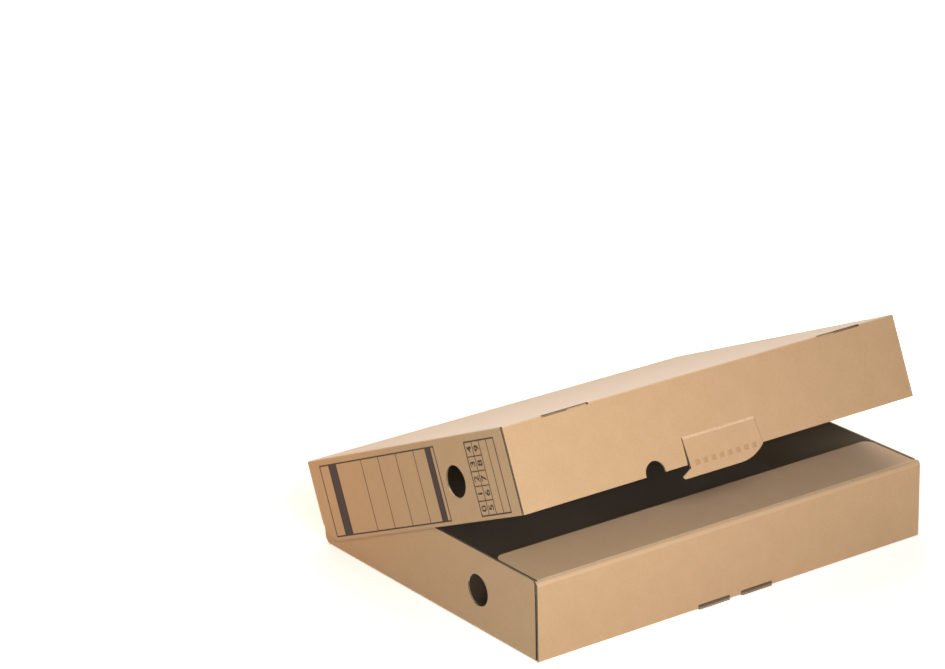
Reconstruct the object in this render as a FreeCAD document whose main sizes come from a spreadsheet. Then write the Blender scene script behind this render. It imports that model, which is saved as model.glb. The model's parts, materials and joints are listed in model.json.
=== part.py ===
import FreeCAD, Part
import math
import os
import re

import Sketcher

# Archive box of corrugated board, lying open on its bottom panel.
#
# The box is die-cut from one flat sheet, and every panel between two creases is a piece of its own here.
# A tray (bottom, front wall with its rolled upper crease, two end walls with corner flaps, retaining flap)
# stands inside a full-depth lid (top panel, front wall, two end walls with corner flaps, closing tongue).
# A back wall joins the two: it turns on the tray's back crease, and the lid turns on the back wall's upper
# crease.
#
# X runs along the front wall, with the labelled end at -X. Y runs from the front wall to the back wall,
# and Z is up. The origin is the middle of the closed box, on the surface that it stands on. Each panel is
# drawn where it lies in the closed box, and the back wall and the lid are then opened about their creases.

# Driving dimensions, in millimetres.
SIZES = (
    ("closed_length", 430.0, "outside length of the closed box, along the front wall"),
    ("closed_depth", 325.0, "outside depth of the closed box, front wall to back wall"),
    ("closed_height", 75.0, "outside height of the closed box"),
    ("board", 1.6, "thickness of the corrugated board"),
    ("side_gap", 0.6, "clearance between walls that stand side by side at the ends"),
    ("front_gap", 0.8, "clearance between the lid's corner flaps and the tray's front wall"),
    ("top_gap", 0.8, "clearance between the retaining flap and the lid's top panel"),
    ("crease_gap", 0.4, "clearance between two panels that turn about one crease"),
    ("lid_corner_gap", 0.9, "open joint between the lid's front wall and its corner flaps"),
    ("tray_corner_gap", 1.6, "open joint between the tray's front wall and its corner flaps"),
    ("retaining_gap", 2.0, "clearance at each end of the retaining flap"),
    ("hole_diameter", 29.0, "finger hole"),
    ("hole_setback", 90.0, "finger hole's middle, behind the front of the closed box"),
    ("hole_height", 36.0, "finger hole's middle, above the surface"),
    ("tray_roll", 4.0, "outside radius of the tray's upper front crease and of the end walls' corners"),
    ("tray_heel", 6.0, "rounding of a tray end wall's lower back corner"),
    ("lid_heel", 22.0, "rounding of a lid end wall's lower back corner, which clears the surface"),
    ("lid_toe", 2.0, "rounding of a lid end wall's lower front corner"),
    ("retaining_depth", 62.0, "depth of the retaining flap, behind its crease"),
    ("retaining_corner", 9.0, "rounding of the retaining flap's free corners"),
    ("tray_flap_length", 70.0, "length of a tray corner flap"),
    ("tray_flap_drop", 11.0, "how far a tray corner flap ends below the retaining flap"),
    ("flap_taper", 9.0, "how far a corner flap's free end slants"),
    ("lid_flap_rise", 3.0, "lower edge of a lid corner flap, above the lid's lower edge"),
    ("lid_flap_drop", 3.5, "upper edge of a lid corner flap, below the top panel"),
    ("lid_flap_margin", 12.0, "how far a lid corner flap reaches past its slit"),
    ("slit_setback", 40.0, "lid slit's outer end, from the end of the closed box"),
    ("slit_length", 49.0, "length of a lid slit"),
    ("slit_width", 2.0, "height of a lid slit in the front wall"),
    ("tab_width", 20.0, "width of the tab that a lid corner flap puts through its slit"),
    ("tab_sink", 1.0, "how far that tab's end stays below the top panel's upper face"),
    ("fit_gap", 0.5, "clearance round a tab in its slit and a lip in its slot"),
    ("tongue_width", 82.0, "width of the closing tongue at the lid's lower edge"),
    ("tongue_height", 23.0, "height of the closing tongue's crease above the lid's lower edge"),
    ("tongue_offset", -0.5, "middle of the closing tongue, from the middle of the box"),
    ("tongue_shoulder", 3.0, "how much the tongue narrows at the right end of its crease"),
    ("tongue_left_cut", 0.9, "width of the cut at the left of the tongue"),
    ("tongue_right_cut", 0.3, "width of the cut at the right of the tongue"),
    ("tongue_flare", 1.6, "how much wider the left cut gets towards the lid's lower edge"),
    ("tip_depth", 11.2, "how far the tongue's tip reaches below the lid's lower edge"),
    ("tip_round", 42.0, "radius of the tip's swept right end"),
    ("tip_corner", 0.9, "straight edge that is left above the swept end"),
    ("ear_reach", 8.0, "how far the tip's ear hooks out past the left cut"),
    ("ear_neck", 3.2, "depth of the neck above the ear"),
    ("ear_neck_inset", 0.4, "how far the neck is cut in"),
    ("ear_round", 2.6, "rounding of the ear"),
    ("crush_width", 4.5, "width of one crush mark on the tongue's lower crease"),
    ("crush_reach", 2.4, "how far a crush mark reaches to each side of that crease"),
    ("crush_depth", 0.5, "how deep it is pressed into the board's outer face"),
    ("crush_pitch", 9.0, "distance from one crush mark to the next"),
    ("notch_radius", 10.4, "half-round thumb notch"),
    ("notch_height", 1.5, "middle of the notch's round, above the lid's lower edge"),
    ("notch_offset", 76.5, "middle of the notch, to the left of the middle of the box"),
    ("slot_web", 12.5, "board left between the tray's two slots"),
    ("slot_length", 35.0, "length of each slot"),
    ("slot_height", 2.4, "height of the slot above the lip"),
    ("lip_reach", 1.3, "how far a lip stands out of the front wall"),
    ("lip_round", 0.9, "rounding of a lip's corners"),
    ("wave_pitch", 12.0, "distance from one scallop of the back crease to the next"),
    ("wave_width", 7.0, "width of a scallop"),
    ("wave_reach", 1.2, "how far a scallop stands out behind the back wall"),
    ("wave_clearance", 0.45, "clearance at each side of a scallop"),
    ("wave_arch", 3.6, "height of the arch over a scallop"),
    ("wave_margin", 9.0, "plain crease at each end of the row of scallops"),
)

# Angles at which the box lies open, in degrees.
ANGLES = (
    ("back_wall_lean", 17.0, "angle that the back wall leans back by"),
    ("lid_lift", 6.0, "angle between the lid and the back wall, past square"),
)

# Places worked out from the sizes, for the closed box.
PLACES = (
    ("lid_end_outer", "closed_length / 2"),
    ("lid_end_inner", "lid_end_outer - board"),
    ("tray_end_outer", "lid_end_inner - side_gap"),
    ("tray_end_inner", "tray_end_outer - board"),
    ("back_wall_end", "tray_end_inner - side_gap"),
    ("lid_front_outer", "-closed_depth / 2"),
    ("lid_front_inner", "lid_front_outer + board"),
    ("lid_flap_inner", "lid_front_inner + lid_corner_gap + board"),
    ("tray_front_outer", "lid_flap_inner + front_gap"),
    ("tray_front_inner", "tray_front_outer + board"),
    ("tray_flap_inner", "tray_front_inner + tray_corner_gap + board"),
    ("roll_end", "tray_front_outer + tray_roll"),
    ("back_outer", "closed_depth / 2"),
    ("back_inner", "back_outer - board"),
    ("panel_stop", "back_inner - crease_gap"),
    ("ceiling", "closed_height - board"),
    ("tray_top", "ceiling - top_gap"),
    ("retaining_underside", "tray_top - board"),
    ("hole_middle", "lid_front_outer + hole_setback"),
    ("tongue_half", "tongue_width / 2"),
    ("tongue_left", "tongue_offset - tongue_half"),
    ("tongue_right", "tongue_offset + tongue_half"),
    ("slot_inner", "slot_web / 2"),
    ("slot_outer", "slot_inner + slot_length"),
    ("slot_top", "board + slot_height"),
    ("slit_outer", "lid_end_outer - slit_setback"),
    ("slit_inner", "slit_outer - slit_length"),
    ("tip_run", "sqrt(tip_round ^ 2 - (tip_round - tip_depth + tip_corner) ^ 2)"),
    ("crush_count", "floor((tongue_width - tongue_shoulder) / crush_pitch)"),
    ("crush_row", "crush_pitch * (crush_count - 1)"),
    ("scallop_rise", "wave_reach + board + crease_gap"),
    ("scallop_radius", "(wave_width ^ 2 / 4 + scallop_rise ^ 2) / (2 * scallop_rise)"),
    ("arch_half", "wave_width / 2 + wave_clearance"),
    ("arch_rise", "wave_arch - board"),
    ("arch_radius", "(arch_half ^ 2 + arch_rise ^ 2) / (2 * arch_rise)"),
    ("wave_count", "floor(2 * (back_wall_end - wave_margin) / wave_pitch)"),
    ("wave_row", "wave_pitch * (wave_count - 1)"),
)

LEFT = -1
RIGHT = 1


def bound(text):
    """Turns the plain names in an expression into references to the two sheets."""
    sizes = {name for name, number, note in SIZES + ANGLES}
    places = {name for name, formula in PLACES}

    def reference(match):
        word = match.group(0)
        if word in sizes:
            return "Sizes." + word
        if word in places:
            return "Places." + word
        return word

    return re.sub(r"[a-z_]+", reference, str(text))


def make_sheets(doc):
    """Fills one sheet with the driving dimensions and one with the places that follow from them."""
    sizes = doc.addObject("Spreadsheet::Sheet", "Sizes")
    for row, (name, number, note) in enumerate(SIZES + ANGLES, start=1):
        sizes.set(f"A{row}", note)
        sizes.set(f"B{row}", str(number))
        sizes.setAlias(f"B{row}", name)
    doc.recompute()
    places = doc.addObject("Spreadsheet::Sheet", "Places")
    for row, (name, formula) in enumerate(PLACES, start=1):
        places.set(f"A{row}", name.replace("_", " "))
        places.set(f"B{row}", "=" + bound(formula).replace("Places.", ""))
        places.setAlias(f"B{row}", name)
        doc.recompute()
    return places


def number(body, text):
    """Works out an expression, for the first position of what a sketch draws."""
    return float(body.evalExpression(bound(text)))


def add_body(doc, label):
    body = doc.addObject("PartDesign::Body", label)
    body.Label = label
    return body


def add_sketch(body, name, plane, level):
    """Starts a sketch on one of the body's own planes, raised along the plane's normal."""
    sketch = body.newObject("Sketcher::SketchObject", name)
    support = next(item for item in body.Origin.OriginFeatures if item.Role == plane)
    sketch.AttachmentSupport = [(support, "")]
    sketch.MapMode = "FlatFace"
    sketch.setExpression(".AttachmentOffset.Base.z", bound(level))
    return sketch


def constrain(sketch, kind, handles, value, text):
    """Adds one dimension and binds it to the sheets."""
    index = sketch.addConstraint(Sketcher.Constraint(kind, *handles, value))
    sketch.setExpression(f"Constraints[{index}]", bound(text))


def fix_point(body, sketch, geometry, handle, x, y):
    """Dimensions a point of the sketch from the sketch's origin."""
    for kind, text in (("DistanceX", x), ("DistanceY", y)):
        constrain(sketch, kind, (-1, 1, geometry, handle), number(body, text), text)


def arc_between(start, end, middle):
    """Makes the arc of under half a turn, and says which of its ends is the start."""
    first = math.atan2(start.y - middle.y, start.x - middle.x)
    last = math.atan2(end.y - middle.y, end.x - middle.x)
    circle = Part.Circle(middle, FreeCAD.Vector(0, 0, 1), (start - middle).Length)
    if (start - middle).cross(end - middle).z > 0:
        return Part.ArcOfCircle(circle, first, last), (1, 2)
    return Part.ArcOfCircle(circle, last, first), (2, 1)


def draw_outline(body, sketch, points):
    """Draws a closed outline through points (x, y).

    A point (x, y, radius, middle_x, middle_y) starts an arc to the next point, and the others start a line.
    """
    places = [FreeCAD.Vector(number(body, x), number(body, y), 0) for x, y, *arc in points]
    drawn = []
    for index, (x, y, *arc) in enumerate(points):
        start = places[index]
        end = places[(index + 1) % len(points)]
        if arc:
            radius, middle_x, middle_y = arc
            middle = FreeCAD.Vector(number(body, middle_x), number(body, middle_y), 0)
            shape, ends = arc_between(start, end, middle)
        else:
            shape = Part.LineSegment(start, end)
            ends = (1, 2)
        drawn.append((sketch.addGeometry(shape, False), ends))
    for index, (x, y, *arc) in enumerate(points):
        geometry, ends = drawn[index]
        following, following_ends = drawn[(index + 1) % len(points)]
        joint = (geometry, ends[1], following, following_ends[0])
        sketch.addConstraint(Sketcher.Constraint("Coincident", *joint))
        fix_point(body, sketch, geometry, ends[0], x, y)
        if arc:
            constrain(sketch, "Radius", (geometry,), number(body, arc[0]), arc[0])


def draw_circle(body, sketch, x, y, radius):
    middle = FreeCAD.Vector(number(body, x), number(body, y), 0)
    circle = Part.Circle(middle, FreeCAD.Vector(0, 0, 1), number(body, radius))
    geometry = sketch.addGeometry(circle, False)
    fix_point(body, sketch, geometry, 3, x, y)
    constrain(sketch, "Radius", (geometry,), number(body, radius), radius)


def add_pad(body, name, sketch, length, symmetric=False):
    pad = body.newObject("PartDesign::Pad", name)
    pad.Profile = sketch
    pad.setExpression("Length", bound(length))
    if symmetric:
        pad.SideType = "Symmetric"
    sketch.Visibility = False
    return pad


def add_cut(body, name, sketch, depth=None):
    """Cuts the outline to a depth, or right through the panel to both sides, and checks that it cuts."""
    before = body.Shape.Volume
    cut = body.newObject("PartDesign::Pocket", name)
    cut.Profile = sketch
    if depth:
        cut.setExpression("Length", bound(depth))
    else:
        cut.Type = "ThroughAll"
        cut.SideType = "Symmetric"
    sketch.Visibility = False
    body.Document.recompute()
    if not body.Shape.Volume < before:
        raise RuntimeError(f"{name} cuts nothing from {body.Label}")
    return cut


def add_row(body, name, feature, sketch, count, length):
    """Repeats one feature along X."""
    row = body.newObject("PartDesign::LinearPattern", name)
    row.Originals = [feature]
    row.Direction = (sketch, ["H_Axis"])
    row.setExpression("Length", bound(length))
    row.setExpression("Occurrences", bound(count))
    body.Tip = row
    return row


def add_panel(doc, label, plane, level, points, hole=None):
    """Makes one flat panel: its die-cut outline, as thick as the board, on the far side of the level."""
    body = add_body(doc, label)
    sketch = add_sketch(body, label + "_outline", plane, level)
    draw_outline(body, sketch, points)
    if hole:
        draw_circle(body, sketch, *hole)
    add_pad(body, label + "_board", sketch, "board")
    doc.recompute()
    return body


def add_fold(body, name, plane, level, length, corner, across, along):
    """Adds the rounded crease that joins a panel to its neighbour: a quarter round of board.

    corner is the inside of the fold, across and along point from it to the two outer faces.
    """
    x, y = corner
    sketch = add_sketch(body, name + "_round", plane, level)
    points = (
        (x, y),
        (f"{x} + ({across}) * board", y, "board", x, y),
        (x, f"{y} + ({along}) * board"),
    )
    draw_outline(body, sketch, points)
    add_pad(body, name, sketch, length)
    body.Document.recompute()


def rectangle(left, right, low, high):
    return ((left, low), (right, low), (right, high), (left, high))


def rounded_wall(front, back, low, high, toe, heel, brow):
    """Outline of an end wall seen from its side, with rounded lower front, lower back and upper front
    corners.

    A radius of None leaves that corner square.
    """
    points = []
    if toe:
        points.append((front, f"{low} + {toe}", toe, f"{front} + {toe}", f"{low} + {toe}"))
        points.append((f"{front} + {toe}", low))
    else:
        points += [(front, low)]
    middle = (f"{back} - {heel}", f"{low} + {heel}")
    points += [(middle[0], low, heel, *middle), (back, middle[1])]
    points += [(back, high)]
    if brow:
        middle = (f"{front} + {brow}", f"{high} - {brow}")
        points += [(middle[0], high, brow, *middle), (front, middle[1])]
    else:
        points += [(front, high)]
    return points


def make_bottom_panel(doc):
    """The tray's floor, with a lip in each front slot and a row of scallops on the back crease."""
    outline = rectangle("-tray_end_inner", "tray_end_inner", "tray_front_inner", "panel_stop")
    body = add_panel(doc, "bottom_panel", "XY_Plane", "0", outline)
    lips = add_sketch(body, "lip_outlines", "XY_Plane", "0")
    for side in (LEFT, RIGHT):
        draw_lip(body, lips, side)
    add_pad(body, "lips", lips, "board")
    scallop = add_sketch(body, "scallop_outline", "XY_Plane", "0")
    first = "-wave_row / 2"
    foot = "panel_stop - board"
    crown = "back_outer + wave_reach - scallop_radius"
    points = (
        (f"{first} - wave_width / 2", foot),
        (f"{first} + wave_width / 2", foot),
        (f"{first} + wave_width / 2", "panel_stop", "scallop_radius", first, crown),
        (first, "back_outer + wave_reach", "scallop_radius", first, crown),
        (f"{first} - wave_width / 2", "panel_stop"),
    )
    draw_outline(body, scallop, points)
    pad = add_pad(body, "scallop", scallop, "board")
    add_row(body, "scallops", pad, scallop, "wave_count", "wave_row")
    return body


def draw_lip(body, sketch, side):
    """One lip: it starts in the tray's floor, passes the front wall's slot and ends in two round corners."""
    inner = f"tongue_offset + {side} * (slot_inner + fit_gap)"
    outer = f"tongue_offset + {side} * (slot_outer - fit_gap)"
    root = "tray_front_inner + board"
    tip = "tray_front_outer - lip_reach"
    shoulder = f"{tip} + lip_round"
    inner_middle = f"{inner} + {side} * lip_round"
    outer_middle = f"{outer} - {side} * lip_round"
    points = (
        (inner, root),
        (inner, shoulder, "lip_round", inner_middle, shoulder),
        (inner_middle, tip),
        (outer_middle, tip, "lip_round", outer_middle, shoulder),
        (outer, shoulder),
        (outer, root),
    )
    draw_outline(body, sketch, points)


def make_tray_front_wall(doc):
    """The tray's front wall, folded up from the floor."""
    body = add_body(doc, "tray_front_wall")
    profile = add_sketch(body, "tray_front_profile", "YZ_Plane", "0")
    points = (
        ("tray_front_inner", "0", "board", "tray_front_inner", "board"),
        ("tray_front_outer", "board"),
        ("tray_front_outer", "tray_top - tray_roll"),
        ("tray_front_inner", "tray_top - tray_roll"),
    )
    draw_outline(body, profile, points)
    add_pad(body, "tray_front_board", profile, "2 * tray_end_outer", symmetric=True)
    doc.recompute()
    slots = add_sketch(body, "slot_outlines", "XZ_Plane", "-tray_front_inner")
    for side in (LEFT, RIGHT):
        inner = f"tongue_offset + {side} * slot_inner"
        outer = f"tongue_offset + {side} * slot_outer"
        draw_outline(body, slots, rectangle(inner, outer, "-board", "slot_top"))
    add_cut(body, "slots", slots)
    return body


def make_tray_front_roll(doc):
    """The soft crease that rolls the tray's front wall over to the retaining flap."""
    body = add_body(doc, "tray_front_roll")
    profile = add_sketch(body, "tray_roll_profile", "YZ_Plane", "0")
    middle = ("roll_end", "tray_top - tray_roll")
    points = (
        ("tray_front_outer", middle[1], "tray_roll", *middle),
        ("roll_end", "tray_top"),
        ("roll_end", "retaining_underside", "tray_roll - board", *middle),
        ("tray_front_inner", middle[1]),
    )
    draw_outline(body, profile, points)
    add_pad(body, "tray_roll_board", profile, "2 * tray_end_outer", symmetric=True)
    doc.recompute()
    return body


def make_tray_end_wall(doc, label, side, hole):
    """A tray end wall, with the rounded crease along its foot. The labelled end has the finger hole."""
    level = "-tray_end_outer" if side == LEFT else "tray_end_inner"
    back = "(back_outer - crease_gap)"
    outline = rounded_wall("tray_flap_inner", back, "board", "tray_top", None, "tray_heel", "tray_roll")
    body = add_panel(doc, label, "YZ_Plane", level, outline, hole)
    corner = (f"{side} * tray_end_inner", "board")
    length = f"{back} - tray_heel - tray_flap_inner"
    add_fold(body, label + "_crease", "XZ_Plane", f"tray_heel - {back}", length, corner, side, -1)
    return body


def make_tray_corner_flap(doc, label, side):
    """A tray corner flap, folded in from the end wall behind the front wall."""
    root = f"{side} * tray_end_inner"
    free = f"{side} * (tray_end_inner - tray_flap_length)"
    shoulder = f"{side} * (tray_end_inner - tray_flap_length + flap_taper)"
    top = "retaining_underside - tray_flap_drop"
    outline = ((root, "board"), (free, "board"), (free, f"{top} - flap_taper"), (shoulder, top), (root, top))
    body = add_panel(doc, label, "XZ_Plane", "-tray_flap_inner", outline)
    corner = (root, "tray_flap_inner")
    add_fold(body, label + "_crease", "XY_Plane", "board", f"{top} - board", corner, side, -1)
    return body


def make_retaining_flap(doc):
    """The flap folded over from the tray's front wall, which keeps the papers in when the box stands up."""
    end = "(tray_end_inner - retaining_gap)"
    front = "roll_end + crease_gap"
    back = "(roll_end + retaining_depth)"
    turn = f"{end} - retaining_corner"
    shoulder = f"{back} - retaining_corner"
    points = (
        (f"-{end}", front),
        (end, front),
        (end, shoulder, "retaining_corner", turn, shoulder),
        (turn, back),
        (f"-({turn})", back, "retaining_corner", f"-({turn})", shoulder),
        (f"-{end}", shoulder),
    )
    return add_panel(doc, "retaining_flap", "XY_Plane", "retaining_underside", points)


def make_back_wall(doc):
    """The back wall between the two back creases, with arches over the scallops of the lower one."""
    body = add_body(doc, "back_wall")
    profile = add_sketch(body, "back_profile", "YZ_Plane", "0")
    points = (
        ("back_inner", "0", "board", "back_inner", "board"),
        ("back_outer", "board"),
        ("back_outer", "ceiling", "board", "back_inner", "ceiling"),
        ("back_inner", "closed_height"),
    )
    draw_outline(body, profile, points)
    add_pad(body, "back_board", profile, "2 * back_wall_end", symmetric=True)
    doc.recompute()
    arch = add_sketch(body, "arch_outline", "XZ_Plane", "-back_inner")
    first = "-wave_row / 2"
    spring = "wave_arch - arch_rise"
    points = (
        (f"{first} - arch_half", "-board"),
        (f"{first} + arch_half", "-board"),
        (f"{first} + arch_half", spring, "arch_radius", first, "wave_arch - arch_radius"),
        (first, "wave_arch", "arch_radius", first, "wave_arch - arch_radius"),
        (f"{first} - arch_half", spring),
    )
    draw_outline(body, arch, points)
    cut = add_cut(body, "arch", arch)
    add_row(body, "arches", cut, arch, "wave_count", "wave_row")
    return body


def make_lid_top_panel(doc):
    """The lid's top panel, with a slit at each end of its front crease for a corner flap's tab."""
    front = "lid_front_inner"
    slit_back = "lid_flap_inner + fit_gap"
    points = [("-lid_end_inner", "panel_stop"), ("-lid_end_inner", front)]
    for near, far in (("-slit_outer", "-slit_inner"), ("slit_inner", "slit_outer")):
        points += [(near, front), (near, slit_back), (far, slit_back), (far, front)]
    points += [("lid_end_inner", front), ("lid_end_inner", "panel_stop")]
    return add_panel(doc, "lid_top_panel", "XY_Plane", "ceiling", points)


def make_lid_front_wall(doc):
    """The lid's front wall, with the tongue's opening, the thumb notch and the two slits cut in it."""
    body = add_body(doc, "lid_front_wall")
    profile = add_sketch(body, "lid_front_profile", "YZ_Plane", "0")
    points = (
        ("lid_front_inner", "0"),
        ("lid_front_outer", "0"),
        ("lid_front_outer", "ceiling", "board", "lid_front_inner", "ceiling"),
        ("lid_front_inner", "closed_height"),
    )
    draw_outline(body, profile, points)
    add_pad(body, "lid_front_board", profile, "2 * lid_end_outer", symmetric=True)
    doc.recompute()
    opening = add_sketch(body, "tongue_opening_outline", "XZ_Plane", "-lid_front_inner")
    left = "tongue_left - tongue_left_cut"
    right = "tongue_right + tongue_right_cut"
    top = "tongue_height + crease_gap"
    points = (
        (left, "-board"),
        (right, "-board"),
        (right, "0"),
        (f"{right} - tongue_shoulder", top),
        (left, top),
    )
    draw_outline(body, opening, points)
    add_cut(body, "tongue_opening", opening)
    notch = add_sketch(body, "notch_outline", "XZ_Plane", "-lid_front_inner")
    middle = ("-notch_offset", "notch_height")
    left = "-notch_offset - notch_radius"
    right = "-notch_offset + notch_radius"
    points = (
        (left, "-board"),
        (right, "-board"),
        (right, "notch_height", "notch_radius", *middle),
        ("-notch_offset", "notch_height + notch_radius", "notch_radius", *middle),
        (left, "notch_height"),
    )
    draw_outline(body, notch, points)
    add_cut(body, "thumb_notch", notch)
    slits = add_sketch(body, "slit_outlines", "XZ_Plane", "-lid_front_inner")
    for near, far in (("-slit_outer", "-slit_inner"), ("slit_inner", "slit_outer")):
        draw_outline(body, slits, rectangle(near, far, "closed_height - slit_width", "closed_height + board"))
    add_cut(body, "slits", slits)
    return body


def make_lid_end_wall(doc, label, side, hole):
    """A lid end wall, folded down from the top panel. The labelled end has the finger hole."""
    level = "-lid_end_outer" if side == LEFT else "lid_end_inner"
    outline = rounded_wall("lid_flap_inner", "back_outer", "0", "ceiling", "lid_toe", "lid_heel", None)
    body = add_panel(doc, label, "YZ_Plane", level, outline, hole)
    corner = (f"{side} * lid_end_inner", "ceiling")
    length = "back_outer - lid_flap_inner"
    add_fold(body, label + "_crease", "XZ_Plane", "-back_outer", length, corner, side, 1)
    return body


def make_lid_corner_flap(doc, label, side):
    """A lid corner flap, folded in behind the front wall, with a tab that locks in the slit."""
    root = f"{side} * lid_end_inner"
    free = f"{side} * (slit_inner - lid_flap_margin)"
    low = "lid_flap_rise"
    high = "(ceiling - lid_flap_drop)"
    tab_near = f"{side} * (slit_inner + fit_gap)"
    tab_far = f"{side} * (slit_inner + fit_gap + tab_width)"
    tab_top = "closed_height - tab_sink"
    outline = (
        (root, low),
        (f"{side} * (slit_inner - lid_flap_margin + flap_taper)", low),
        (free, f"{low} + flap_taper"),
        (free, high),
        (tab_near, high),
        (tab_near, tab_top),
        (tab_far, tab_top),
        (tab_far, high),
        (root, high),
    )
    body = add_panel(doc, label, "XZ_Plane", "-lid_flap_inner", outline)
    corner = (root, "lid_flap_inner")
    add_fold(body, label + "_crease", "XY_Plane", low, f"{high} - {low}", corner, side, -1)
    return body


def add_crush_marks(body, low, high):
    """Presses a row of square marks into the outer face, along the tongue's lower crease."""
    sketch = add_sketch(body, body.Label + "_crush_outline", "XZ_Plane", "-lid_front_outer")
    left = "tongue_offset - crush_row / 2 - crush_width / 2"
    draw_outline(body, sketch, rectangle(left, f"{left} + crush_width", low, high))
    cut = add_cut(body, body.Label + "_crush_mark", sketch, "crush_depth")
    add_row(body, body.Label + "_crush_marks", cut, sketch, "crush_count", "crush_row")


def make_closing_tongue(doc):
    """The closing tongue, which swings out about its crease in the lid's front wall."""
    low = "crease_gap / 2"
    points = (
        ("tongue_left + tongue_flare", low),
        ("tongue_right", low),
        ("tongue_right - tongue_shoulder", "tongue_height"),
        ("tongue_left", "tongue_height"),
    )
    body = add_panel(doc, "closing_tongue", "XZ_Plane", "-lid_front_inner", points)
    add_crush_marks(body, "-board", "crush_reach")
    return body


def make_tongue_tip(doc):
    """The tongue's tip, which folds in about the crushed crease: a hooked ear and a swept right end."""
    top = "-crease_gap / 2"
    root = "tongue_left + tongue_flare"
    ear = "tongue_left - ear_reach"
    ear_middle = (f"{ear} + ear_round", "ear_round - tip_depth")
    sweep = "tongue_right - tip_run"
    points = (
        (root, top),
        (f"{root} + ear_neck_inset", "-ear_neck"),
        (ear, "ear_round - tip_depth", "ear_round", *ear_middle),
        (ear_middle[0], "-tip_depth"),
        (sweep, "-tip_depth", "tip_round", sweep, "tip_round - tip_depth"),
        ("tongue_right", "-tip_corner"),
        ("tongue_right", top),
    )
    body = add_panel(doc, "tongue_tip", "XZ_Plane", "-lid_front_inner", points)
    add_crush_marks(body, "-crush_reach", "board")
    return body


def opened_about(y, z, angle):
    """The turn that lifts the front of what it moves, about a line along X."""
    axis = FreeCAD.Vector(1, 0, 0)
    return FreeCAD.Placement(FreeCAD.Vector(), FreeCAD.Rotation(axis, -angle), FreeCAD.Vector(0, y, z))


def open_box(places, back_wall, lid):
    """Leans the back wall back and lifts the lid about the back wall's upper crease."""
    back = places.get("back_outer")
    lean = opened_about(back, 0, number(places, "back_wall_lean"))
    lift = opened_about(back, number(places, "closed_height"), number(places, "lid_lift"))
    back_wall.Placement = lean
    for body in lid:
        body.Placement = lean.multiply(lift)


def check(doc, bodies):
    """Stops if any object failed to build or any panel isn't one valid solid."""
    for item in doc.Objects:
        if "Invalid" in item.State or "Error" in item.State:
            raise RuntimeError(f"{item.Label} failed: {item.State}")
    for body in bodies:
        if body.Shape.isNull() or not body.Shape.isValid() or len(body.Shape.Solids) != 1:
            raise RuntimeError(f"{body.Label} isn't one valid solid")


def main():
    doc = FreeCAD.newDocument("archive_box")
    places = make_sheets(doc)
    hole = ("hole_middle", "hole_height", "hole_diameter / 2")
    tray = [
        make_bottom_panel(doc),
        make_tray_front_wall(doc),
        make_tray_front_roll(doc),
        make_tray_end_wall(doc, "tray_left_end_wall", LEFT, hole),
        make_tray_end_wall(doc, "tray_right_end_wall", RIGHT, None),
        make_tray_corner_flap(doc, "tray_left_corner_flap", LEFT),
        make_tray_corner_flap(doc, "tray_right_corner_flap", RIGHT),
        make_retaining_flap(doc),
    ]
    back_wall = make_back_wall(doc)
    lid = [
        make_lid_top_panel(doc),
        make_lid_front_wall(doc),
        make_lid_end_wall(doc, "lid_left_end_wall", LEFT, hole),
        make_lid_end_wall(doc, "lid_right_end_wall", RIGHT, None),
        make_lid_corner_flap(doc, "lid_left_corner_flap", LEFT),
        make_lid_corner_flap(doc, "lid_right_corner_flap", RIGHT),
        make_closing_tongue(doc),
        make_tongue_tip(doc),
    ]
    doc.recompute()
    open_box(places, back_wall, lid)
    doc.recompute()
    bodies = tray + [back_wall] + lid
    check(doc, bodies)
    os.makedirs("parts", exist_ok=True)
    for body in bodies:
        body.Shape.exportStep(f"parts/{body.Label}.step")
        box = body.Shape.BoundBox
        size = f"{box.XLength:.1f} x {box.YLength:.1f} x {box.ZLength:.1f}"
        print(f"{body.Label}: {body.Shape.Volume:.0f} cubic mm, {size}")


main()
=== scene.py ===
import json
import math

import bpy
from mathutils import Matrix, Vector

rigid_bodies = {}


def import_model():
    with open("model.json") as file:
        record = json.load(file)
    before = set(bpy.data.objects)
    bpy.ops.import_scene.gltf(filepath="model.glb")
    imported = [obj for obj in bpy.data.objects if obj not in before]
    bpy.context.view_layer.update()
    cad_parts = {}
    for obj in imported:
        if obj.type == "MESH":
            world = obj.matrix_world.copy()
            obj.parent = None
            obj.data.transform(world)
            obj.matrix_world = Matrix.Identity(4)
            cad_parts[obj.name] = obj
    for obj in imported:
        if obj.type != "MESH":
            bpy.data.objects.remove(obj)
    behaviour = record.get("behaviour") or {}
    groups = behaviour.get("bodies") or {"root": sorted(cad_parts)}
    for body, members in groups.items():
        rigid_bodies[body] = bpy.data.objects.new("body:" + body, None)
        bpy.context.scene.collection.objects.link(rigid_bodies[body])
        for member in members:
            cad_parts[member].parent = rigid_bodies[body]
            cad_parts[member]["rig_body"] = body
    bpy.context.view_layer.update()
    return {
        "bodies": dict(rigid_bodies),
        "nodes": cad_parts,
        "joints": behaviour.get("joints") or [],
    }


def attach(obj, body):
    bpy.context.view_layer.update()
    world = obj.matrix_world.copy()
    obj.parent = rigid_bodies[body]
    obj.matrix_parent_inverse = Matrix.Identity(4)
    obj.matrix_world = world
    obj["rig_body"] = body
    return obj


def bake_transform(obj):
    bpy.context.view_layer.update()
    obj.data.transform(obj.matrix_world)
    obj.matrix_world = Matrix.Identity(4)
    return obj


bl_info = {
    "name": "Archive box",
    "version": (1, 0, 0),
    "blender": (4, 5, 0),
    "location": "View3D > Sidebar > Archive box",
    "description": "Finishes an archive box of corrugated board: its board, its print and a plain stage",
    "category": "Object",
}

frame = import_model()

MM = 0.001
X = Vector((1, 0, 0))
Y = Vector((0, 1, 0))
Z = Vector((0, 0, 1))
FORWARD_UP = (Z - Y).normalized()

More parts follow.
